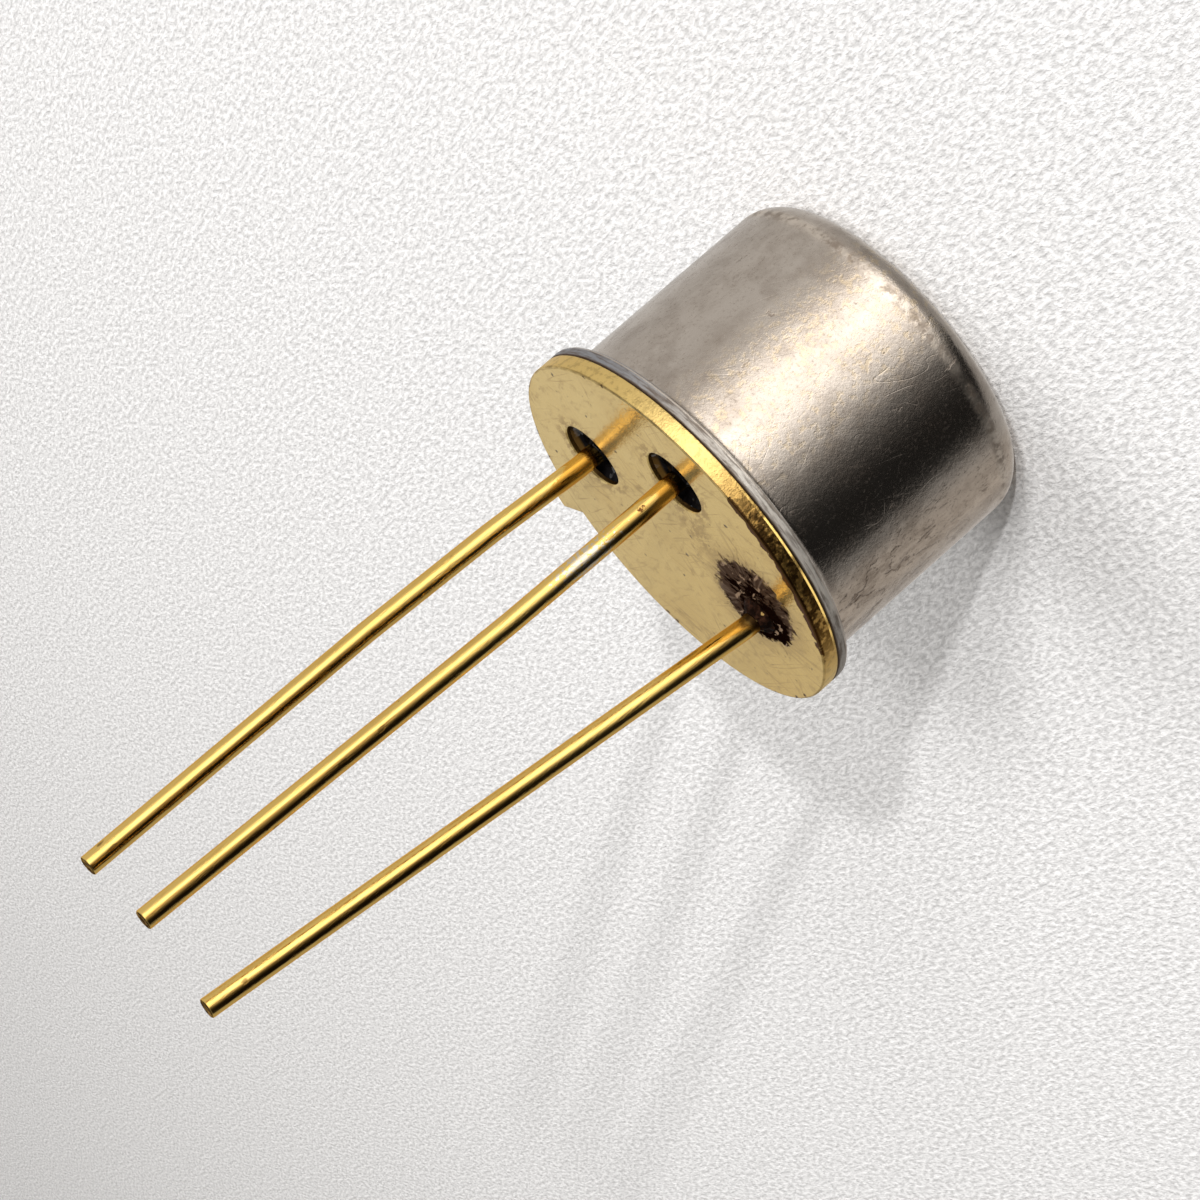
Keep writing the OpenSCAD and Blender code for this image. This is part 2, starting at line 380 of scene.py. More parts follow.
def makeCanFinish(values):
    material, tree, shader, spot = startMaterial("nickelPlate")
    height = heightOf(tree, spot)
    peel = useGroup(tree, grain, Vector=spot, Scale=values["grainScale"])
    speckle = remap(tree, noiseValue(tree, spot, values["speckleScale"], 4.0, 0.65), 0.5, 0.74)
    drawn = placed(tree, spot, scale=(1, 1, 6))
    creasing = placed(tree, spot, scale=(1, 1, 1.7))
    patches = useGroup(tree, blotches, Vector=drawn, Scale=values["patchScale"], Low=0.38,
                       High=0.72)
    cloudy = useGroup(tree, blotches, Vector=spot, Scale=values["cloudScale"], Low=0.4, High=0.7)
    scars = useGroup(tree, blotches, Vector=creasing, Scale=values["scarScale"], Low=0.66,
                     High=0.71)
    lines = useGroup(tree, scratches, Vector=placed(tree, spot, turn=(90, 0, 0)),
                     Scale=values["lineScale"], Width=0.012, Amount=0.5)

    # the dented side, worst near the flange; painted light makes its colour lighter and warmer
    dentedAndLightened = facingMask(tree, spot, values["dentedSide"], 0.86, 0.97)
    worst = times(tree, dentedAndLightened, remapMm(tree, height, 1.0, 4.2, 0.35, 1.0))
    creased = noiseValue(tree, creasing, values["creaseScale"], 4.0, 0.65)
    grime = times(tree, remap(tree, creased, 0.46, 0.62), worst)
    veins = noiseValue(tree, placed(tree, spot, scale=(1, 1, 1.4)), values["veinScale"], 3.0,
                       0.55)
    veins = times(tree, remap(tree, awayFrom(tree, veins, 0.5), 0.022, 0.004), worst,
                  remap(tree, creased, 0.46, 0.54))

    # a paler band with brown scuffs where the wall turns into the top, and warm flecks painted
    # where the highlight falls
    corner = remapMm(tree, awayFrom(tree, height, values["cornerAt"] * mm), 0.22, 0.02)
    colourless = times(tree, corner, between(tree, cloudy, 0.75, 0.25))
    scuffed = times(tree, corner,
                    remap(tree, noiseValue(tree, spot, 3000.0, 4.0, 0.7), 0.46, 0.6))
    flecks = times(tree, facingMask(tree, spot, values["highlightSide"], 0.9, 0.985),
                   remap(tree, noiseValue(tree, spot, 5200.0, 4.0, 0.7), 0.48, 0.64))

    # the flange's sheared edge, paler on one side as painted light and slate-dark on another as
    # painted shade; a rolled ridge with a painted highlight, a groove near it with painted shade,
    # and painted shade at the seam
    onEdge = times(tree, ringMask(tree, spot, flangeR, 0.09), 3.0, clamp=True)
    sheared = noiseValue(tree, placed(tree, spot, scale=(9, 9, 1)), 15000.0, 3.0, 0.6)
    # painted highlight: a pale, smoother line along the rolled ridge
    ridgeHighlight = awayFrom(tree, height, (mouthZ + values["ridgeAt"]) * mm)
    ridgeHighlight = times(tree, remapMm(tree, ridgeHighlight, 0.028, 0.01), onEdge)
    # painted shade: a dark line in the groove where the wall meets the flange
    grooveShade = awayFrom(tree, height, (mouthZ + values["grooveAt"]) * mm)
    grooveShade = remapMm(tree, grooveShade, 0.035, 0.01)
    # painted shade: a dark line at the seam with the header
    seamShade = remapMm(tree, height, mouthZ - 0.05, mouthZ - 0.015)

    colour = coats(tree, values["clean"], values,
                   # painted light: the dented side lighter and warmer
                   ("paintedLightWarm", dentedAndLightened, 1),
                   ("dull", patches, 0.55),
                   ("brown", cloudy, 0.3),
                   ("brown", speckle, 0.3),
                   # painted highlight: warm flecks on the side where the highlight falls
                   ("highlightFleck", flecks, 0.5),
                   ("brown", scars, 0.5),
                   ("brown", grime, 0.4),
                   ("brown", veins, 0.6),
                   ("worn", colourless, 1),
                   ("brown", scuffed, 0.55))
    # painted light and shade: the edge is paler on one side and slate-dark on another
    edge = coats(tree, values["edge"], values,
                 ("edgeLitPale", facingMask(tree, spot, values["paintedLightSide"], 0.72, 0.95), 1),
                 ("slateShade", facingMask(tree, spot, values["slateShadeSide"], 0.35, 0.9), 1),
                 ("brown", remap(tree, sheared, 0.42, 0.66), 0.65))
    # painted highlight on the ridge, painted shade in the groove and at the seam
    colour = coats(tree, blendColour(tree, onEdge, colour, edge), values,
                   ("worn", ridgeHighlight, 0.6),
                   ("brown", grooveShade, 0.55),
                   ("brown", seamShade, 0.85))
    rough = addUp(tree, (patches, 0.05), (peel, 0.06), (speckle, 0.2), (cloudy, 0.05),
                  (scuffed, 0.12), (colourless, 0.22), (scars, 0.08), (ridgeHighlight, -0.25),
                  (onEdge, values["edgeRough"]), base=values["rough"])
    wave = noiseValue(tree, drawn, values["waveScale"])
    swell = noiseValue(tree, spot, values["swellScale"])
    dents = noiseValue(tree, placed(tree, spot, scale=(1, 1, 1.2)), values["dentScale"], 4.0, 0.6)
    depth = addUp(tree, (peel, values["grainDepth"]), (wave, values["waveDepth"]),
                  (swell, values["swellDepth"]), (scars, -2.5), (lines, -2.0), (scuffed, -1.5),
                  (grime, -5.0), (veins, -7.0), (flecks, -2.5),
                  (times(tree, sheared, onEdge), 9.0),
                  (times(tree, dents, worst), values["dentDepth"]))
    endMaterial(tree, shader, depth, {"Base Color": colour, "Roughness": rough, "Metallic": 1})
    return material


# header finish

goldFinish = {
    "face": (0.69, 0.5, 0.178, 1),
    "faceDull": (0.57, 0.385, 0.122, 1),
    "faceLit": (0.78, 0.61, 0.28, 1),
    "faceBrown": (0.33, 0.205, 0.066, 1),
    "rim": (0.97, 0.7, 0.26, 1),
    "dirt": (0.07, 0.03, 0.01, 1),
    "shadeFilm": (0.72, 0.4, 0.1, 1),
    "burrHighlight": (0.95, 0.66, 0.2, 1),
    "burn": (0.025, 0.01, 0.006, 1),
    "tint": (0.14, 0.095, 0.078, 1),
    "tintPale": (0.37, 0.28, 0.22, 1),
    "grazing": (0.95, 0.88, 0.72, 1),
    "grazingDirtAndShade": (0.4, 0.34, 0.32, 1),
    "grazingBurn": (0.12, 0.1, 0.1, 1),
    "cream": (0.8, 0.58, 0.42, 1),
    "burnAt": (-2.45, -0.43, 0),
    "coreAt": (-2.78, 0.16, 0),
    "sootAt": (-0.75, -1.15, 0),
    # radii where the marks begin and where they are full
    "tintR": (1.16, 1.04),
    "smokeR": (1.7, 1.05),
    "hairR": (1.75, 1.1),
    "burnR": (0.7, 0.56),
    "sootR": (0.8, 0.2),
    "burrAt": 0.06,
    "paintedLightSide": -18.4,
    "shadeSide": -140,
    "holeLighterSide": 20,
    "faceMetal": 0.8,
    "faceRough": 0.135,
    "rimRough": 0.3,
    "grainScale": 9000.0,
    "lineScale": 3200.0,
    "patchScale": 450.0,
    "speckScale": 1900.0,
    "dustScale": 5600.0,
    "crumbScale": 6500.0,
    "crustScale": 4200.0,
    "streakScale": 5200.0,
    "raggedScale": 2600.0,
}


def makeHeaderFinish(values):
    material, tree, shader, spot = startMaterial("goldPlate")
    height = heightOf(tree, spot)
    onFace = remapMm(tree, height, faceZ - 0.035, faceZ - 0.01)
    offFace = calc(tree, "SUBTRACT", 1.0, onFace)

    # distances from the weld's stain, from its darkest part and from the soot
    turn = (0, 0, values["paintedLightSide"])
    aside = placed(tree, spot, at=values["burnAt"], turn=turn, scale=(1, 1.3, 1))
    reach = levelReach(tree, aside)
    core = levelReach(tree, placed(tree, spot, at=values["coreAt"], turn=turn,
                                   scale=(1, 1.7, 1)))
    soot = levelReach(tree, placed(tree, spot, at=values["sootAt"], turn=turn,
                                   scale=(1.4, 1, 1)))

    peel = useGroup(tree, grain, Vector=spot, Scale=values["grainScale"])
    lines = useGroup(tree, scratches, Vector=spot, Scale=values["lineScale"], Width=0.02,
                     Amount=addUp(tree, (remapMm(tree, reach, 2.6, 1.0), 0.1), base=0.54))
    patches = useGroup(tree, blotches, Vector=spot, Scale=values["patchScale"], Low=0.35,
                       High=0.7)
    specks = useGroup(tree, pits, Vector=spot, Scale=values["speckScale"], Size=0.12, Share=0.45)
    dust = useGroup(tree, pits, Vector=spot, Scale=values["dustScale"], Size=0.2, Share=0.16)
    crumbs = useGroup(tree, blotches, Vector=spot, Scale=values["crumbScale"], Low=0.5, High=0.62)
    crust = useGroup(tree, blotches, Vector=spot, Scale=values["crustScale"], Low=0.4, High=0.5)
    brushed = (0, 0, streakSide)
    mottle = noiseValue(tree, placed(tree, spot, turn=brushed, scale=(2.2, 1, 1)),
                        values["streakScale"], 4.0, 0.65)
    ragged = noiseValue(tree, spot, values["raggedScale"], 3.0, 0.6)

    # painted light makes the face paler on one side, with soot near the middle and smudges at the
    # holes
    lean = vectorCalc(tree, "DOT_PRODUCT", spot, levelWay(values["paintedLightSide"]))
    sooty = times(tree, remapMm(tree, soot, *values["sootR"]),
                  remap(tree, mottle, 0.42, 0.56, 0.15, 0.75))
    face = coats(tree, values["face"], values,
                 ("faceLit", remapMm(tree, lean, -4.5, 4.5), 0.8),
                 ("faceDull", patches, 0.5),
                 ("faceBrown", remap(tree, mottle, 0.5, 0.72), 0.42),
                 ("faceBrown", lines, 0.6),
                 ("dirt", specks, 0.95),
                 ("dirt", dust, 0.6),
                 ("faceBrown", sooty, 1))
    for _, smudge in holeMasks(tree, spot, 0.85, 0.4):
        smudge = times(tree, smudge, remap(tree, mottle, 0.46, 0.56))
        face = coats(tree, face, values, ("faceBrown", smudge, 0.75))

    # painted shade: the rim is darker on one side, with a brown film and caked dirt there, and a
    # painted highlight along it as a bright burr
    shadedSide = facingMask(tree, spot, values["shadeSide"], 0.8, 0.97)
    rimShade = facingMask(tree, spot, values["shadeSide"], 0.7, 0.97)
    cakedDirtAndShade = times(tree, crust, shadedSide)
    # painted highlight: a bright gold line on the rim's lower edge, on the shaded side, less
    # metallic so the lamps light it
    burrHighlight = awayFrom(tree, height, (mouthZ + values["burrAt"]) * mm)
    burrHighlight = remapMm(tree, burrHighlight, 0.036, 0.016)
    broken = remap(tree, noiseValue(tree, spot, 2100.0, 3.0, 0.6), 0.36, 0.56, 0.35, 1.0)
    burrHighlight = times(tree, burrHighlight, shadedSide, broken)
    rim = coats(tree, values["rim"], values,
                ("shadeFilm", rimShade, 0.85),
                ("dirt", crumbs, 0.25),
                ("dirt", cakedDirtAndShade, 0.86),
                ("burrHighlight", burrHighlight, 1))

    # painted shade: the thin dark line where the face turns down into the rim, and at the seam
    # under it
    creaseShade = times(tree, ringMask(tree, spot, flangeR - 0.015, 0.05),
                   remapMm(tree, height, faceZ - 0.06, faceZ - 0.03),
                   remap(tree, ragged, 0.38, 0.62, 0.35, 1.1),
                   between(tree, shadedSide, 0.5, 1.0), clamp=True)
    bites = times(tree, ringMask(tree, spot, flangeR, 0.34), between(tree, shadedSide, 0.25, 1.0))
    bites = remap(tree, addUp(tree, (bites, 0.5), base=ragged), 0.75, 0.8)
    bites = times(tree, bites, remapMm(tree, height, faceZ - 0.09, faceZ - 0.05))
    seamShade = remapMm(tree, height, mouthZ + 0.03, mouthZ + 0.012)

    # painted shade on the walls of the holes, a little lighter on one side
    wallShades = []
    for local, wall in holeMasks(tree, spot, holeR, 0.08):
        lighterSide = facingMask(tree, local, values["holeLighterSide"], 0.0, 0.6)
        wallShades.append(times(tree, times(tree, wall, 3.0, clamp=True),
                           between(tree, lighterSide, 1.0, 0.92)))
    holeShade = times(tree, highest(tree, *wallShades),
                   remapMm(tree, height, faceZ - 0.02, faceZ - 0.04))
    # dirt in the edge bites, and the painted shade of the crease, the seam and the hole walls
    dirtAndShade = highest(tree, creaseShade, bites, seamShade, times(tree, holeShade, 0.97))

    # what the weld burnt, its heat tint, and the hair lines round it
    jag = calc(tree, "SUBTRACT", noiseValue(tree, spot, 2300.0, 5.0, 0.7), 0.5)
    jag = times(tree, jag, 1.0 * mm)
    parts = addNode(tree, "SeparateXYZ", {0: aside}).outputs
    rays = addNode(tree, "CombineXYZ", {
        0: times(tree, calc(tree, "ARCTAN2", parts[1], parts[0]), 7.0),
        1: times(tree, reach, 900.0)}).outputs[0]
    rays = noiseValue(tree, rays, 1.6, 4.0, 0.65)
    edge = addUp(tree, (jag, 0.8), base=reach)
    tinted = times(tree, remapMm(tree, edge, *values["tintR"]), onFace)
    smoke = times(tree, remapMm(tree, edge, *values["smokeR"]), onFace)
    hairs = times(tree, remap(tree, rays, 0.56, 0.62), remapMm(tree, reach, *values["hairR"]),
                  onFace, remap(tree, ragged, 0.44, 0.6))
    streaks = noiseValue(tree, placed(tree, spot, turn=(0, 0, 20), scale=(2, 1, 1)),
                         values["streakScale"], 4.0, 0.7)
    charred = calc(tree, "ADD", streaks, remapMm(tree, reach, 0.2, 1.0, 0.11, -0.05))
    burnt = highest(tree, remapMm(tree, calc(tree, "ADD", core, jag), *values["burnR"]),
                    remap(tree, charred, 0.5, 0.58))
    burnt = times(tree, burnt, tinted)
    cream = noiseValue(tree, placed(tree, spot, turn=brushed, scale=(2, 1, 1)),
                       values["streakScale"], 3.0, 0.6)
    cream = times(tree, remap(tree, cream, 0.6, 0.66), tinted)
    stain = blendColour(tree, remap(tree, rays, 0.5, 0.62), values["tint"], values["tintPale"])

    # dirt and painted shade go on with the dirt colour
    colour = coats(tree, blendColour(tree, onFace, rim, face), values,
                   ("dirt", dirtAndShade, 0.94),
                   ("faceBrown", smoke, 0.55),
                   ("dirt", hairs, 0.75))
    colour = coats(tree, blendColour(tree, times(tree, tinted, 0.94), colour, stain), values,
                   ("burn", burnt, 1),
                   ("cream", cream, 0.8))
    marksAndShade = highest(tree, dirtAndShade, times(tree, cakedDirtAndShade, offFace), tinted, burnt, hairs)
    grazing = coats(tree, values["grazing"], values,
                    ("grazingDirtAndShade", marksAndShade, 1),
                    ("grazingBurn", burnt, 1),
                    ("grazing", cream, 0.8))
    rough = addUp(tree, (peel, 0.06), (tinted, 0.42), (holeShade, 0.1),
                  base=between(tree, onFace, values["rimRough"], values["faceRough"]))
    plain = calc(tree, "SUBTRACT", onFace, tinted)
    metal = times(tree, between(tree, burrHighlight, 1.0, 0.3),
                  between(tree, plain, 1.0, values["faceMetal"]))
    flecked = times(tree, noiseValue(tree, spot, 3600.0, 3.0, 0.6), offFace,
                    between(tree, shadedSide, 0.3, 1.0))
    depth = addUp(tree, (peel, between(tree, onFace, 18.0, 2.0)), (lines, -0.8), (specks, -4.0),
                  (patches, 1.5), (times(tree, mottle, onFace), 7.0),
                  (times(tree, streaks, tinted), 22.0), (bites, -12.0), (flecked, 40.0))
    endMaterial(tree, shader, depth, {"Base Color": colour, "Roughness": rough,
                                      "Metallic": metal, "Specular Tint": grazing})
    return material


# lead finish

leadFinish = {
    "gold": (0.95, 0.65, 0.2, 1),
    "deep": (0.8, 0.5, 0.13, 1),
    "worn": (0.74, 0.66, 0.54, 1),
    "grazing": (1.0, 0.73, 0.43, 1),
    "dirt": (0.12, 0.05, 0.015, 1),
    "burn": (0.05, 0.022, 0.01, 1),
    "shadeFilm": (0.3, 0.16, 0.035, 1),
    "cut": (0.09, 0.07, 0.05, 1),
    "grazingCut": (0.28, 0.22, 0.17, 1),
    "shadeSide": -130,
    # heights where the painted shade film begins and where it is full
    "footShade": (9.6, 7.8),
    "endShade": (9.0, 15.0),
    "cutFrom": faceZ + 10,
    "grainScale": 14000.0,
    "patchScale": 2400.0,
    "speckScale": 3600.0,
    "streakScale": 9000.0,
}
wornLeadFinish = {
    **leadFinish,
    "shadeSide": -123,
    "wornAt": (-0.06, -2.78, 9.1),
    "nickAt": (-0.02, -2.77, 7.45),
}
burntLeadFinish = {**leadFinish, "burntTo": faceZ + 0.45}


def makeLeadFinish(name, values):
    material, tree, shader, spot = startMaterial(name)
    height = heightOf(tree, spot)
    along = placed(tree, spot, scale=(1, 1, 9))
    peel = useGroup(tree, grain, Vector=along, Scale=values["grainScale"])
    patches = useGroup(tree, blotches, Vector=along, Scale=values["patchScale"], Low=0.4,
                       High=0.7)
    specks = useGroup(tree, pits, Vector=placed(tree, spot, scale=(1, 1, 2)),
                      Scale=values["speckScale"], Size=0.22, Share=0.18)
    streaks = noiseValue(tree, placed(tree, spot, scale=(1, 1, 7)), values["streakScale"], 4.0,
                         0.7)
    streaks = remap(tree, streaks, 0.48, 0.66)

    # painted shade: a darker film on one side, at the foot and towards the end; and the cut end
    normal = addNode(tree, "NewGeometry").outputs["Normal"]
    shadedSide = vectorCalc(tree, "DOT_PRODUCT", normal, levelWay(values["shadeSide"]))
    shadeAtFoot = times(tree, remap(tree, shadedSide, 0.78, 0.96),
                   remapMm(tree, height, *values["footShade"], 0.0, 0.55))
    shadeAtEnd = times(tree, remap(tree, shadedSide, 0.9, 0.97),
                  remapMm(tree, height, *values["endShade"], 0.0, 0.85))
    cut = times(tree, remap(tree, heightOf(tree, normal), 0.5, 0.8),
                remapMm(tree, height, values["cutFrom"], values["cutFrom"] + 0.5),
                remap(tree, noiseValue(tree, spot, 8000.0, 3.0, 0.6), 0.35, 0.6, 0.5, 1.0))
    colour = coats(tree, values["gold"], values,
                   ("deep", patches, 0.5),
                   ("dirt", specks, 0.7),
                   ("deep", streaks, 0.5),
                   ("shadeFilm", highest(tree, shadeAtEnd, shadeAtFoot), 1),
                   ("cut", cut, 1))
    if "wornAt" in values:
        flecks = noiseValue(tree, spot, 12000.0, 3.0, 0.7)
        worn = placed(tree, spot, at=values["wornAt"], scale=(1, 1, 2.2))
        worn = vectorCalc(tree, "LENGTH", worn)
        worn = remapMm(tree, addUp(tree, (flecks, 1.7 * mm), base=worn), 1.12, 1.04)
        nick = placed(tree, spot, at=values["nickAt"], scale=(1, 1, 1.3))
        nick = vectorCalc(tree, "LENGTH", nick)
        nick = remapMm(tree, addUp(tree, (flecks, 0.2 * mm), base=nick), 0.17, 0.14)
        colour = coats(tree, colour, values, ("worn", worn, 0.85), ("dirt", nick, 1))
    rough = addUp(tree, (patches, 0.05), (streaks, 0.03), (cut, 0.3), base=0.08)
    if "burntTo" in values:
        ragged = noiseValue(tree, spot, 7000.0, 3.0, 0.6)
        burnt = remapMm(tree, addUp(tree, (ragged, -0.3 * mm), base=height),
                        values["burntTo"] - 0.1, values["burntTo"] - 0.3)
        colour = coats(tree, colour, values, ("burn", burnt, 0.93))
        rough = addUp(tree, (burnt, 0.3), base=rough)
    depth = addUp(tree, (peel, 2.2), (patches, 2.6), (streaks, -1.6), (specks, -2.5))
    endMaterial(tree, shader, depth, {
        "Base Color": colour, "Roughness": rough, "Metallic": 1,
        "Specular Tint": blendColour(tree, cut, values["grazing"], values["grazingCut"])})
    return material


# glass finish

glassFinish = {
    "black": (0.0008, 0.0006, 0.0006, 1),
    "sheen": (0.004, 0.0035, 0.0038, 1),
    "wetAndLit": (0.045, 0.024, 0.006, 1),
    "wetLitSide": 10,
    "ior": 1.45,
    "flowScale": 3000.0,
    "flowDepth": 40.0,
    "glintScale": 3300.0,
}


def makeGlassFinish(values):
    material, tree, shader, spot = startMaterial("blackGlass")
    flow = noiseValue(tree, placed(tree, spot, scale=(1, 1, 4)), values["flowScale"])
    colour = coats(tree, values["black"], values, ("sheen", remap(tree, flow, 0.35, 0.7), 1))
    # painted light: brown where it wets the metal, only on one side, where the lit wall of the
    # hole shows
    for local, wetAndLit in holeMasks(tree, spot, 0.78, 0.11):
        wetAndLit = times(tree, wetAndLit, facingMask(tree, local, values["wetLitSide"], 0.3, 0.75))
        colour = coats(tree, colour, values, ("wetAndLit", times(tree, wetAndLit, 1.5, clamp=True), 1))
    glints = noiseValue(tree, spot, values["glintScale"])
    glints = remap(tree, glints, 0.57, 0.61, 0.015, 1.0)
    endMaterial(tree, shader, times(tree, flow, values["flowDepth"]), {
        "Base Color": colour, "Roughness": remap(tree, flow, 0.3, 0.7, 0.04, 0.12),
        "IOR": values["ior"], "Specular IOR Level": glints})
    return material


# weld finish

weldFinish = {
    "black": (0.003, 0.0015, 0.001, 1),
    "brown": (0.022, 0.009, 0.005, 1),
    "gold": (0.75, 0.5, 0.18, 1),
    "grazing": (0.6, 0.5, 0.45, 1),
    "lumpScale": 6000.0,
    "lumpDepth": 60.0,
    "fleckScale": 7000.0,
    "fleckDepth": 6.0,
}


def makeWeldFinish(values):
    material, tree, shader, spot = startMaterial("burntWeld")
    lumps = noiseValue(tree, spot, values["lumpScale"], 5.0, 0.7)
    flecks = useGroup(tree, pits, Vector=spot, Scale=values["fleckScale"], Size=0.45, Share=0.2)
    colour = coats(tree, values["black"], values,
                   ("brown", remap(tree, lumps, 0.4, 0.7), 1),
                   ("gold", flecks, 1))
    depth = addUp(tree, (lumps, values["lumpDepth"]), (flecks, values["fleckDepth"]))
    endMaterial(tree, shader, depth, {
        "Base Color": colour, "Roughness": remap(tree, lumps, 0.3, 0.7, 0.6, 0.4),
        "Metallic": times(tree, flecks, 0.9), "Specular IOR Level": 0.04,
        "Specular Tint": values["grazing"]})
    return material


def makeInnerFinish(name, light, dark, scale, metallic, rough, depth):
    # for the parts inside the can: one metal or crystal with an uneven surface
    material, tree, shader, spot = startMaterial(name)
    uneven = useGroup(tree, blotches, Vector=spot, Scale=scale, Low=0.35, High=0.7)
    peel = useGroup(tree, grain, Vector=spot, Scale=scale * 4)
    endMaterial(tree, shader, times(tree, peel, depth), {
        "Base Color": blendColour(tree, uneven, light, dark), "Metallic": metallic,
        "Roughness": between(tree, uneven, rough, rough + 0.15)})
    return material


canMaterial = makeCanFinish(canFinish)
headerMaterial = makeHeaderFinish(goldFinish)
leadMaterial = makeLeadFinish("leadGold", leadFinish)
wornLeadMaterial = makeLeadFinish("leadGoldWorn", wornLeadFinish)
burntLeadMaterial = makeLeadFinish("leadGoldBurnt", burntLeadFinish)
glassMaterial = makeGlassFinish(glassFinish)
weldMaterial = makeWeldFinish(weldFinish)
print("finishes made")


# helpers for pieces

pieceValues = {
    "near": 0.0001,  # closer than this is the same place
    "sharpAngle": 50,
    "profile": 0.5,
}


def finishPiece(name, bm, material, node, sharp=True):
    bmesh.ops.remove_doubles(bm, verts=bm.verts, dist=pieceValues["near"])
    bmesh.ops.recalc_face_normals(bm, faces=bm.faces)
    for face in bm.faces:
        face.smooth = True
    if sharp:
        for edge in bm.edges:
            if edge.calc_face_angle(0) > math.radians(pieceValues["sharpAngle"]):
                edge.smooth = False
    bmesh.ops.scale(bm, vec=(mm, mm, mm), verts=bm.verts)
    mesh = bpy.data.meshes.new(name)
    bm.to_mesh(mesh)
    bm.free()
    mesh.materials.append(material)
    piece = bpy.data.objects.new(name, mesh)
    bpy.context.scene.collection.objects.link(piece)
    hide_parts(node)
    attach(piece, "root")
    print("%s: %d faces" % (name, len(mesh.polygons)))


def bevel(bm, geom, width, segments, affect="EDGES"):
    bmesh.ops.bevel(bm, geom=geom, offset=width, offset_type="OFFSET", segments=segments,
                    profile=pieceValues["profile"], affect=affect, material=-1)


def pick(geom, kind):
    return [g for g in geom if isinstance(g, kind)]


def outline(bm, corners, closed=False):
    # corners are (radius, height) or (radius, height, round, segments), joined in turn
    verts = [bm.verts.new((corner[0], 0, corner[1])) for corner in corners]
    for a, b in zip(verts, verts[1:]):
        bm.edges.new((a, b))
    if closed:
        bm.edges.new((verts[-1], verts[0]))
    for vert, corner in zip(verts, corners):
        if len(corner) > 2:
            bevel(bm, [vert], *corner[2:], affect="VERTICES")


def spinOutline(bm, steps, at=(0, 0, 0)):
    geom = bm.verts[:] + bm.edges[:]
    bmesh.ops.spin(bm, geom=geom, cent=(0, 0, 0), axis=(0, 0, 1), angle=math.tau, steps=steps,
                   use_merge=True)
    bmesh.ops.remove_doubles(bm, verts=bm.verts, dist=pieceValues["near"])
    bmesh.ops.translate(bm, vec=at, verts=bm.verts)


# can

canValues = {
    "wallR": 4.1,
    "wall": 0.25,
    "cornerR": 0.78,
    "flangeT": 0.3,
    "filletR": 0.22,
    "outerLip": 0.1,
    "innerLip": 0.04,
    "mouthLip": 0.03,
    "topRing": 2.0,
    "wallRings": (2.4, 4.2),
    "steps": 256,
}


def makeCan(values):
    wallR, wall, cornerR = values["wallR"], values["wall"], values["cornerR"]
    bore = wallR - wall
    shoulder = mouthZ - values["flangeT"]
    bm = bmesh.new()
    outline(bm, [
        (0, canTopZ),
        (values["topRing"], canTopZ),
        (wallR, canTopZ, cornerR, 14),
        *((wallR, z) for z in values["wallRings"]),
        (wallR, shoulder, values["filletR"], 8),
        (flangeR, shoulder, values["outerLip"], 5),
        (flangeR, mouthZ, values["innerLip"], 3),
        (bore, mouthZ, values["mouthLip"], 2),
        (bore, canTopZ + wall, cornerR - wall, 8),
        (0, canTopZ + wall),
    ])
    spinOutline(bm, values["steps"])
    finishPiece("canShell", bm, canMaterial, "can", sharp=False)


makeCan(canValues)


# header

headerValues = {
    "platformR": 3.75,
    "tabW": 0.8,
    "tabL": 0.85,
    "tabAt": 45,
    "insideR": 4.3,  # between the holes and the outer edge
    "edge": 0.045,
    "holeEdge": 0.035,
    "mouthEdge": 0.05,
    "platformEdge": 0.03,
    "flatInset": 0.012,
    "steps": 240,
    "platformSteps": 192,
    "holeSteps": 72,
}


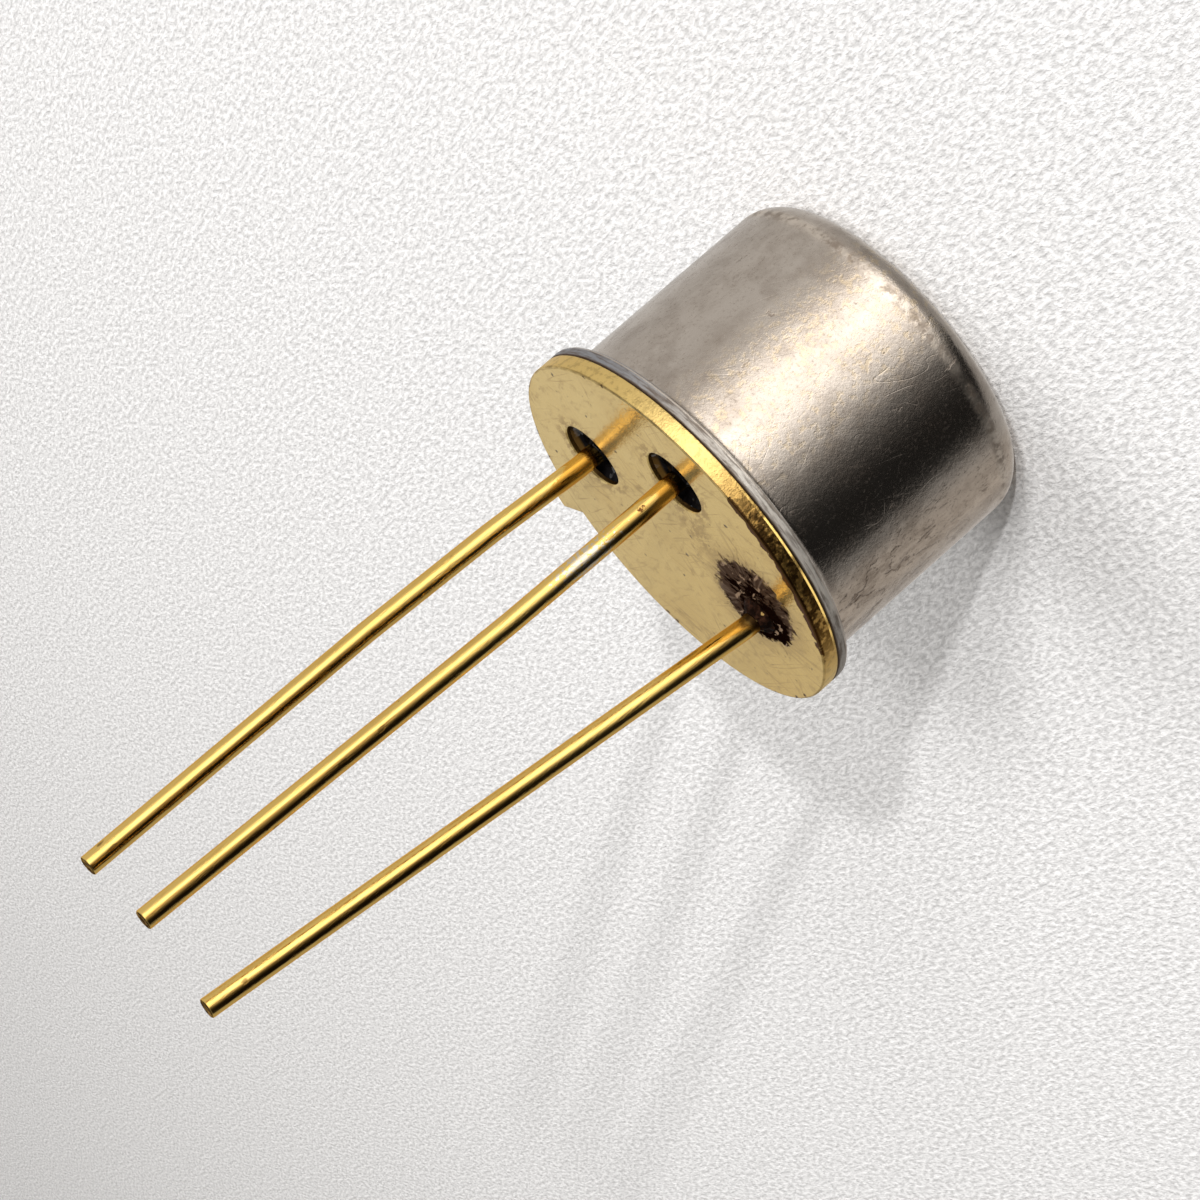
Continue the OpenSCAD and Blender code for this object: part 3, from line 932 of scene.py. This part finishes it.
def makeHeader(values):
    near, sharp = pieceValues["near"], math.radians(pieceValues["sharpAngle"])
    bm = bmesh.new()
    # outer edge with the tab, at the height of the flange's underside
    halfW = values["tabW"] / 2
    half = math.asin(halfW / flangeR)
    start = Vector((math.cos(half), math.sin(half), 0)) * flangeR
    first = bm.verts.new((start.x, start.y, mouthZ))
    spun = bmesh.ops.spin(bm, geom=[first], cent=(0, 0, 0), axis=(0, 0, 1),
                          angle=math.tau - 2 * half, steps=values["steps"])
    last = pick(spun["geom_last"], bmesh.types.BMVert)[0]
    tip = [bm.verts.new((flangeR + values["tabL"], y, mouthZ)) for y in (halfW, -halfW)]
    for ends in ((first, tip[0]), (tip[0], tip[1]), (tip[1], last)):
        bm.edges.new(ends)
    bmesh.ops.rotate(bm, verts=bm.verts, cent=(0, 0, 0),
                     matrix=Matrix.Rotation(math.radians(values["tabAt"]), 3, "Z"))
    outer = bm.edges[:]

    def ring(radius, segments, at):
        made = bmesh.ops.create_circle(bm, cap_ends=False, segments=segments, radius=radius,
                                       matrix=Matrix.Translation((at.x, at.y, mouthZ)))
        return list({edge for vert in made["verts"] for edge in vert.link_edges})

    platform = ring(values["platformR"], values["platformSteps"], Vector((0, 0, 0)))
    holes = ring(holeR, values["holeSteps"], emitterAt) + ring(holeR, values["holeSteps"], baseAt)
    bmesh.ops.triangle_fill(bm, edges=outer + platform, use_beauty=True, normal=(0, 0, 1))
    rim = bm.faces[:]
    rimFaces = set(rim)
    bmesh.ops.triangle_fill(bm, edges=platform + holes, use_beauty=True, normal=(0, 0, 1))
    middle = [f for f in bm.faces if f not in rimFaces]
    raised = bmesh.ops.extrude_face_region(bm, geom=rim + middle, use_keep_orig=True)
    bmesh.ops.translate(bm, vec=(0, 0, faceZ - mouthZ),
                        verts=pick(raised["geom"], bmesh.types.BMVert))
    sunk = bmesh.ops.extrude_face_region(bm, geom=middle)
    bmesh.ops.translate(bm, vec=(0, 0, platformZ - mouthZ),
                        verts=pick(sunk["geom"], bmesh.types.BMVert))
    bmesh.ops.recalc_face_normals(bm, faces=bm.faces)
    bm.normal_update()

    def turned(height, low=0.0, high=math.inf):
        # the sharp edges at a height, between two radii
        found = []
        for edge in bm.edges:
            centre = (edge.verts[0].co + edge.verts[1].co) / 2
            if abs(centre.z - height) < near and edge.calc_face_angle(0) > sharp \
                    and low < centre.to_2d().length < high:
                found.append(edge)
        return found

    insideR = values["insideR"]
    for edges, width, segments in ((turned(faceZ, insideR), values["edge"], 4),
                                   (turned(faceZ, 0, insideR), values["holeEdge"], 3),
                                   (turned(mouthZ, insideR), values["mouthEdge"], 3),
                                   (turned(platformZ), values["platformEdge"], 2)):
        bevel(bm, edges, width, segments)
    for height in (faceZ, mouthZ, platformZ):
        flat = [f for f in bm.faces if abs(f.calc_center_median().z - height) < near
                and abs(f.normal.z) > 0.999]
        bmesh.ops.inset_region(bm, faces=flat, thickness=values["flatInset"], use_boundary=True,
                               use_even_offset=True)
    finishPiece("headerPlate", bm, headerMaterial, "header")


makeHeader(headerValues)


# glass beads

sealValues = {
    # how far the glass sinks from each wall, as (radius, depth)
    "climb": [(leadR, 0.0), (0.27, 0.055), (0.33, 0.11), (0.42, 0.145), (0.53, 0.15),
              (0.64, 0.135), (0.72, 0.09), (0.77, 0.045), (holeR, 0.0)],
    "above": 1.0,
    "below": 0.7,
    "steps": 96,
}


def makeSeal(name, at, node, values):
    # the glass climbs the metal on both sides and sinks between
    low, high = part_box(node)
    climb = values["climb"]
    bm = bmesh.new()
    outline(bm, [(r, high.z / mm - d * values["above"]) for r, d in climb]
            + [(r, low.z / mm + d * values["below"]) for r, d in reversed(climb)], closed=True)
    spinOutline(bm, values["steps"], at=(at.x, at.y, 0))
    finishPiece(name, bm, glassMaterial, node)


makeSeal("emitterBead", emitterAt, "emitter_seal", sealValues)
makeSeal("baseBead", baseAt, "base_seal", sealValues)


# leads

leadValues = {
    "lean": -18,
    "around": 48,
    "stepLength": 0.8,
    "bendSteps": 4,
    "endBevel": 0.04,
    "endInset": 0.01,
}
# each bend is (straight length before it, angle, radius)
emitterBends = {"bends": [(0.3, 4.0, 1.5), (2.3, -1.8, 6.0), (3.3, -1.4, 6.0)], "length": 14.0}
baseBends = {"bends": [(1.0, 0.8, 6.0), (3.5, 1.2, 6.0)], "length": 14.45}
collectorBends = {"bends": [(0.3, 6.0, 1.5)], "length": 14.45}


def makeLead(name, foot, node, material, values, route):
    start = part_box(node)[0].z / mm
    side = Matrix.Rotation(math.radians(values["lean"]), 3, "Z") @ Vector((0, -1, 0))
    at = Vector((foot.x, foot.y, start))
    heading = Vector((0, 0, 1))
    bm = bmesh.new()
    bmesh.ops.create_circle(bm, cap_ends=False, segments=values["around"], radius=leadR,
                            matrix=Matrix.Translation(at))
    ring = bm.edges[:]
    bmesh.ops.contextual_create(bm, geom=ring)

    def run(length):
        nonlocal ring, at
        steps = max(1, round(length / values["stepLength"]))
        for _ in range(steps):
            grown = bmesh.ops.extrude_edge_only(bm, edges=ring)["geom"]
            ring = pick(grown, bmesh.types.BMEdge)
            bmesh.ops.translate(bm, vec=heading * (length / steps),
                                verts=pick(grown, bmesh.types.BMVert))
        at = at + heading * length

    def bend(turn, radius):
        nonlocal ring, at, heading
        # the axis is square to the heading, on the side it bends to
        axis = -side if turn > 0 else side
        angle = math.radians(abs(turn))
        centre = at + axis.cross(heading) * radius
        spun = bmesh.ops.spin(bm, geom=ring, cent=centre, axis=axis, angle=angle,
                              steps=values["bendSteps"])
        ring = pick(spun["geom_last"], bmesh.types.BMEdge)
        turned = Matrix.Rotation(angle, 3, axis)
        at = centre + turned @ (at - centre)
        heading = turned @ heading
        return radius * angle

    left = route["length"]
    toFace = faceZ - start  # the post and the part in the glass
    for length, turn, radius in route["bends"]:
        run(length + toFace)
        left -= length + bend(turn, radius)
        toFace = 0
    run(left)
    bmesh.ops.contextual_create(bm, geom=ring)
    bmesh.ops.recalc_face_normals(bm, faces=bm.faces)
    bevel(bm, ring, values["endBevel"], 3)
    caps = [f for f in bm.faces if len(f.verts) > 8]  # both flat ends
    bmesh.ops.inset_individual(bm, faces=caps, thickness=values["endInset"],
                               use_even_offset=True)
    finishPiece(name, bm, material, node)


makeLead("emitterLead", emitterAt, "emitter_lead", leadMaterial, leadValues, emitterBends)
makeLead("baseLead", baseAt, "base_lead", wornLeadMaterial, leadValues, baseBends)
makeLead("collectorLead", collectorAt, "collector_lead", burntLeadMaterial, leadValues,
         collectorBends)


# weld round the collector lead

weldValues = {
    # shares of the spread: (out from the lead, up from the face)
    "slope": [(0, 0), (0, 1), (0.3, 0.72), (0.6, 0.34), (0.97, 0.1), (1, 0)],
    "spread": 0.22,
    "lump": 0.05,
    "lumpScale": 9,
    "clear": 0.01,  # no lumps this near the lead or the face
    "steps": 64,
}


def makeWeld(values):
    spread = values["spread"]
    bm = bmesh.new()
    outline(bm, [(leadR + spread * out, faceZ + spread * up) for out, up in values["slope"]],
            closed=True)
    spinOutline(bm, values["steps"], at=(collectorAt.x, collectorAt.y, 0))
    bmesh.ops.subdivide_edges(bm, edges=bm.edges, cuts=1, use_grid_fill=True)
    bmesh.ops.recalc_face_normals(bm, faces=bm.faces)
    bm.normal_update()
    for vert in bm.verts:
        away = (vert.co - collectorAt).to_2d().length
        if vert.co.z > faceZ + values["clear"] and away > leadR + values["clear"]:
            lump = noise.fractal(vert.co * values["lumpScale"], 1.0, 2.0, 3)
            vert.co += vert.normal * lump * values["lump"]
    finishPiece("weldCrust", bm, weldMaterial, "collector_weld", sharp=False)


makeWeld(weldValues)


# what the can hides keeps its CAD shape

# material, light and dark colour, pattern scale, metallic, roughness, depth in microns
wireFinish = ("bondWire", (0.9, 0.9, 0.91, 1), (0.7, 0.7, 0.72, 1), 9000.0, 1.0, 0.22, 0.8)
innerFinishes = {
    "die": ("siliconChip", (0.2, 0.21, 0.25, 1), (0.1, 0.11, 0.15, 1), 2500.0, 0.6, 0.2, 0.4),
    "die_attach": ("solderPad", (0.62, 0.6, 0.55, 1), (0.42, 0.4, 0.36, 1), 4000.0, 1.0, 0.32,
                   3.0),
    "emitter_wire": wireFinish,
    "base_wire": wireFinish,
}
for nodeName, finish in innerFinishes.items():
    material = bpy.data.materials.get(finish[0]) or makeInnerFinish(*finish)
    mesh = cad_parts[nodeName].data
    mesh.materials.clear()
    mesh.materials.append(material)
print("inner parts finished")


# floor

floorValues = {
    "half": 2.0,
    "white": (0.91, 0.9, 0.895, 1),
    "grey": (0.61, 0.602, 0.597, 1),
    "napScale": 8200.0,
    "napDepth": 56.0,
}


def makeFloor(values):
    bm = bmesh.new()
    bmesh.ops.create_grid(bm, x_segments=1, y_segments=1, size=values["half"])
    bmesh.ops.translate(bm, vec=(0, 0, canLow.z), verts=bm.verts)
    mesh = bpy.data.meshes.new("floor")
    bm.to_mesh(mesh)
    bm.free()
    material, tree, shader, spot = startMaterial("paleFloor")
    across = placed(tree, spot, turn=(0, 0, streakSide), scale=(3.4, 1, 1))
    nap = noiseValue(tree, across, values["napScale"], 3.0, 0.6)
    colour = coats(tree, values["grey"], values, ("white", remap(tree, nap, 0.3, 0.7), 1))
    endMaterial(tree, shader, times(tree, nap, values["napDepth"]), {
        "Base Color": colour, "Roughness": 0.9, "Specular IOR Level": 0.1})
    mesh.materials.append(material)
    floor = bpy.data.objects.new("floor", mesh)
    bpy.context.scene.collection.objects.link(floor)
    floor.visible_glossy = False  # the metal mirrors the surroundings instead


makeFloor(floorValues)


# light

surroundings = {
    # (azimuth, level) round the horizon
    "levels": [(-180, 0.014), (-165, 0.014), (-152, 0.025), (-141, 0.09), (-129, 0.31),
               (-118, 0.75), (-107, 1.3), (-95, 1.95), (-80, 2.3), (-68, 1.75), (-57, 1.0),
               (-45, 0.66), (-27, 0.6), (0, 0.6), (20, 0.55), (40, 0.64), (58, 0.7), (76, 0.66),
               (92, 0.5), (112, 0.45), (130, 0.42), (149, 0.38), (160, 0.33), (166, 0.09),
               (172, 0.014)],
    "top": 2.3,
    "gapAbove": 0.12,
    "overhead": 0.16,
    "zenith": 0.5,
    "topAbove": 1.8,
    "lowAbove": 0.05,
    "below": 0.38,
    "tint": (1.0, 0.975, 0.945, 1),
}
lamps = {
    "keyLight": {"azimuth": -89, "elevation": 26, "distance": 800, "size": 171, "power": 4.3},
    "lowLight": {"azimuth": -98, "elevation": 14.5, "distance": 800, "size": 21, "power": 6.0},
    "fillLight": {"azimuth": -12, "elevation": 48, "distance": 170, "size": 160, "power": 0.135},
}
lampsAimAt = Vector((0, 0, 8))


def makeSurroundings(values):
    world = bpy.data.worlds.new("studio")
    bpy.context.scene.world = world
    world.use_nodes = True
    tree = world.node_tree
    way = addNode(tree, "TexCoord").outputs["Generated"]
    parts = addNode(tree, "SeparateXYZ", {0: way}).outputs
    up = parts[2]
    share = addUp(tree, (calc(tree, "ARCTAN2", parts[1], parts[0]), 1 / math.tau), base=0.5)
    ramp = addNode(tree, "ValToRGB", {0: share})
    stops = ramp.color_ramp
    stops.interpolation = "EASE"
    levels = values["levels"]
    while len(stops.elements) < len(levels):
        stops.elements.new(0.5)
    for stop, (azimuth, level) in zip(stops.elements, levels):
        stop.position = (azimuth + 180) / 360
        shade = level / values["top"]
        stop.color = (shade, shade, shade, 1)

    def mixLevel(factor, a, b):
        return addNode(tree, "Mix", {0: factor, 2: a, 3: b}, data_type="FLOAT").outputs[0]

    around = highest(tree, times(tree, ramp.outputs[0], values["top"]),
                     remap(tree, up, 0.4, 0.7, 0.0, values["gapAbove"]))
    # above the horizon the brightest band is held back and the darkest one lifted
    calmer = calc(tree, "MINIMUM", around, values["topAbove"])
    calmer = highest(tree, calmer, values["lowAbove"])
    around = mixLevel(remap(tree, up, 0.05, 0.2), around, calmer)
    level = mixLevel(remap(tree, up, 0.5, 0.8), around, values["overhead"])
    level = highest(tree, level, remap(tree, up, 0.86, 0.97, 0.0, values["zenith"]))
    level = mixLevel(remap(tree, up, -0.72, -0.94), level,
                     calc(tree, "MINIMUM", around, values["below"]))
    connect(tree, tree.nodes["Background"], {"Color": values["tint"], "Strength": level})


def makeLight(name, values):
    data = bpy.data.lights.new(name, "AREA")
    data.shape = "DISK"
    data.size = values["size"] * mm
    data.energy = values["power"]
    light = bpy.data.objects.new(name, data)
    light.visible_glossy = False  # the metal mirrors the surroundings, not the lamps
    bpy.context.scene.collection.objects.link(light)
    azimuth, elevation = math.radians(values["azimuth"]), math.radians(values["elevation"])
    toward = Vector((math.cos(azimuth) * math.cos(elevation),
                     math.sin(azimuth) * math.cos(elevation), math.sin(elevation)))
    place = (lampsAimAt + toward * values["distance"]) * mm
    light.matrix_world = (Matrix.Translation(place)
                          @ toward.to_track_quat("Z", "Y").to_matrix().to_4x4())


makeSurroundings(surroundings)
for lampName, lamp in lamps.items():
    makeLight(lampName, lamp)
bpy.context.scene.view_settings.view_transform = "Standard"
print("light and floor set")
